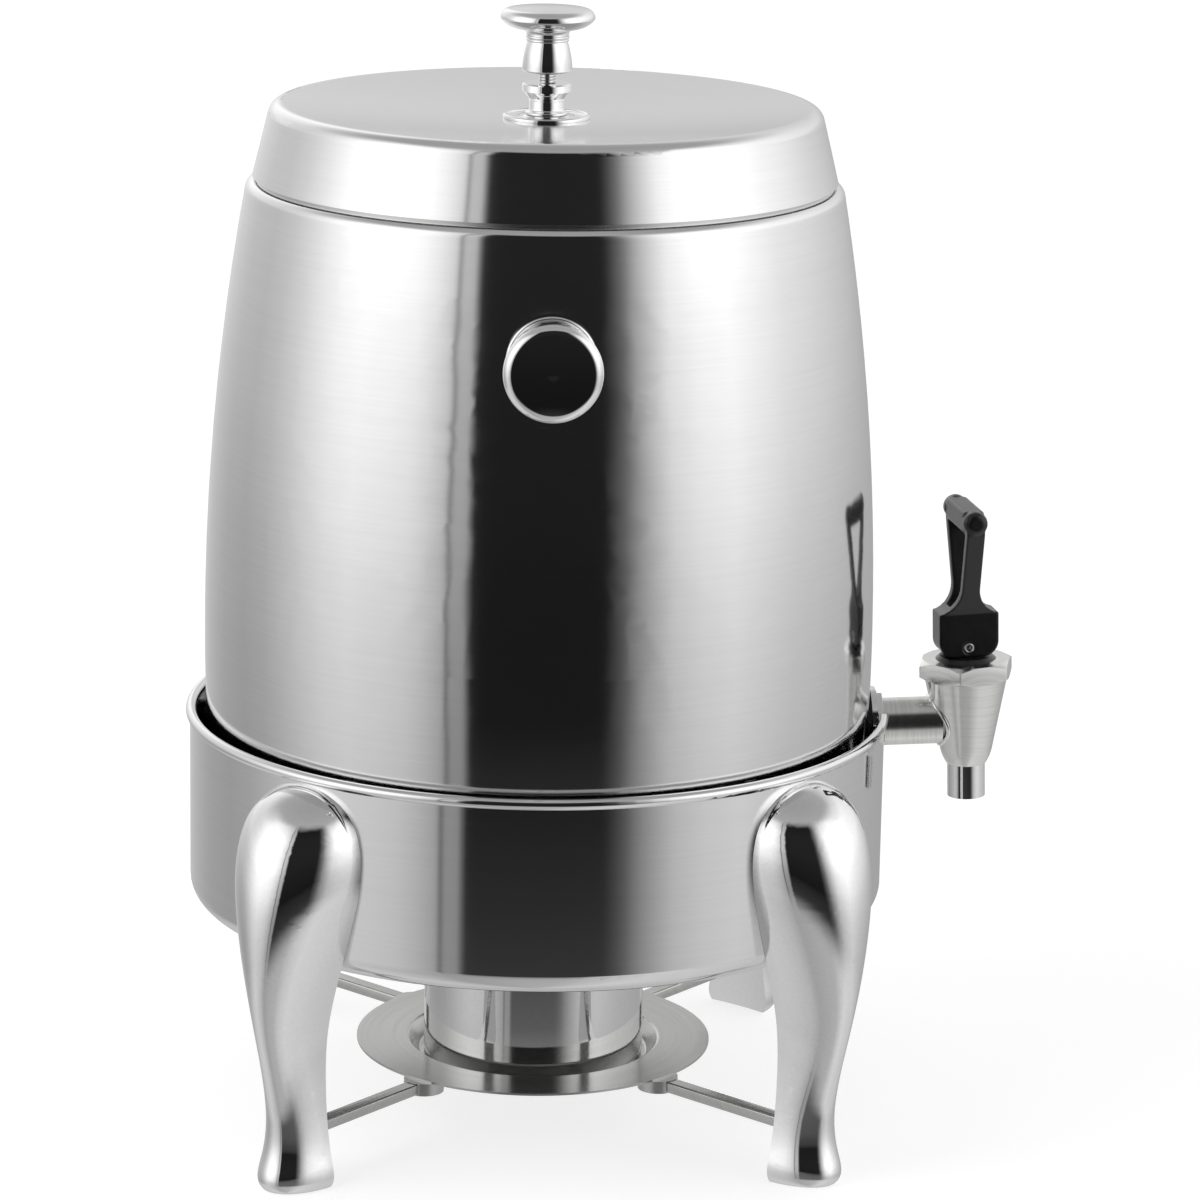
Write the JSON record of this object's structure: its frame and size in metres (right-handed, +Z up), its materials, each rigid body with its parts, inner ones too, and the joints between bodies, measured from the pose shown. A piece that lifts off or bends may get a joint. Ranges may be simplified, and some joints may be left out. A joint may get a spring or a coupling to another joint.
{
  "type": "coffee urn",
  "caption": "Double-walled barrel urn with a lift-off lid, a lever tap and side knobs, on a deep collar with cast legs and a fuel cup beneath.",
  "frame": {"origin": "centre of the bounding box on the floor, under the feet", "axes": "+Z up, +X out along the tap, +Y to the right of someone facing the tap"},
  "size_m": [0.3709, 0.3418, 0.4943],
  "materials": {
    "collar_steel": "bright satin, brushed around",
    "cast_chrome": "mirror plated casting",
    "polished_chrome": "mirror plated",
    "fastener_steel": "plain bright",
    "satin_steel": "satin brushed",
    "cup_steel": "mirror polished",
    "barrel_steel": "bright satin, brushed around",
    "tank_steel": "plain drawn sheet",
    "tap_steel": "turned and brushed",
    "black_plastic": "satin moulded",
    "seal_rubber": "soft matt"
  },
  "bodies": {
    "stand": {"stand_collar": "collar_steel", "leg_front_right": "cast_chrome", "leg_front_left": "cast_chrome", "leg_rear_right": "cast_chrome", "leg_rear_left": "cast_chrome", "leg_screws": "fastener_steel", "leg_screw_washers": "fastener_steel", "burner_tray": "satin_steel", "tray_bosses": "satin_steel", "brace_bars": "satin_steel"},
    "fuel_cup": {"fuel_cup": "cup_steel", "fuel_cup_cover": "cup_steel", "damper_pivot": "fastener_steel"},
    "damper": {"flame_damper": "cup_steel", "damper_knob": "black_plastic"},
    "tank": {"barrel_shell": "barrel_steel", "barrel_base_ring": "barrel_steel", "barrel_top_ring": "barrel_steel", "tank_wall": "tank_steel", "tank_floor": "tank_steel", "heat_skirt": "tank_steel", "side_knob_left": "polished_chrome", "side_knob_right": "polished_chrome", "side_rosettes": "polished_chrome", "side_knob_studs": "fastener_steel", "side_knob_washers": "fastener_steel", "side_knob_nuts": "fastener_steel", "tap_shank": "tap_steel", "tap_flange": "polished_chrome", "tap_jam_nut": "fastener_steel", "tap_outer_seal": "seal_rubber", "tap_inner_seal": "seal_rubber", "tap_lock_nut": "fastener_steel", "tap_body": "tap_steel", "tap_spout": "polished_chrome", "tap_bonnet": "tap_steel", "tap_bonnet_washer": "black_plastic", "tap_spring": "fastener_steel"},
    "tap_plug": {"tap_seat_cup": "seal_rubber"},
    "tap_stem": {"tap_stem": "fastener_steel"},
    "tap_lever": {"tap_lever": "black_plastic", "lever_pin": "fastener_steel"},
    "lid": {"lid_shell": "barrel_steel", "lid_liner": "tank_steel", "lid_gasket": "seal_rubber", "lid_rosette": "polished_chrome", "lid_knob_base": "polished_chrome", "lid_knob": "polished_chrome", "lid_knob_stud": "fastener_steel", "lid_knob_washer": "fastener_steel", "lid_knob_nut": "fastener_steel"}
  },
  "joints": [
    {"name": "tank_lift", "type": "slide", "parent": "stand", "child": "tank", "axis": [0, 0, 1], "range_m": [0, 0.12]},
    {"name": "lid_lift", "type": "slide", "parent": "tank", "child": "lid", "axis": [0, 0, 1], "range_m": [0, 0.15]},
    {"name": "cup_lift", "type": "slide", "parent": "stand", "child": "fuel_cup", "axis": [0, 0, 1], "range_m": [0, 0.008]},
    {"name": "damper_swivel", "type": "hinge", "parent": "fuel_cup", "child": "damper", "pos_m": [0.0076, 0, 0.0758], "axis": [0, 0, 1], "range_deg": [0, 85]},
    {"name": "stem_lift", "type": "slide", "parent": "tank", "child": "tap_plug", "axis": [-0.0384, 0, 0.9993], "range_m": [0, 0.004], "deforming": ["tap_spring"]},
    {"name": "lever_swivel", "type": "hinge", "parent": "tap_plug", "child": "tap_stem", "pos_m": [0.16335, 0, 0.20972], "axis": [-0.0384, 0, 0.9993], "continuous": true},
    {"name": "lever_tilt", "type": "hinge", "parent": "tap_stem", "child": "tap_lever", "pos_m": [0.16335, 0, 0.20972], "axis": [-0.1218, 0.9925, -0.0047], "range_deg": [0, 30], "stiffness_Nm_per_rad": 0.1, "springref_deg": -61.31}
  ],
  "couplings": [
    {"joint": "stem_lift", "follows": "lever_tilt", "m_per_rad": 0.007}
  ]
}
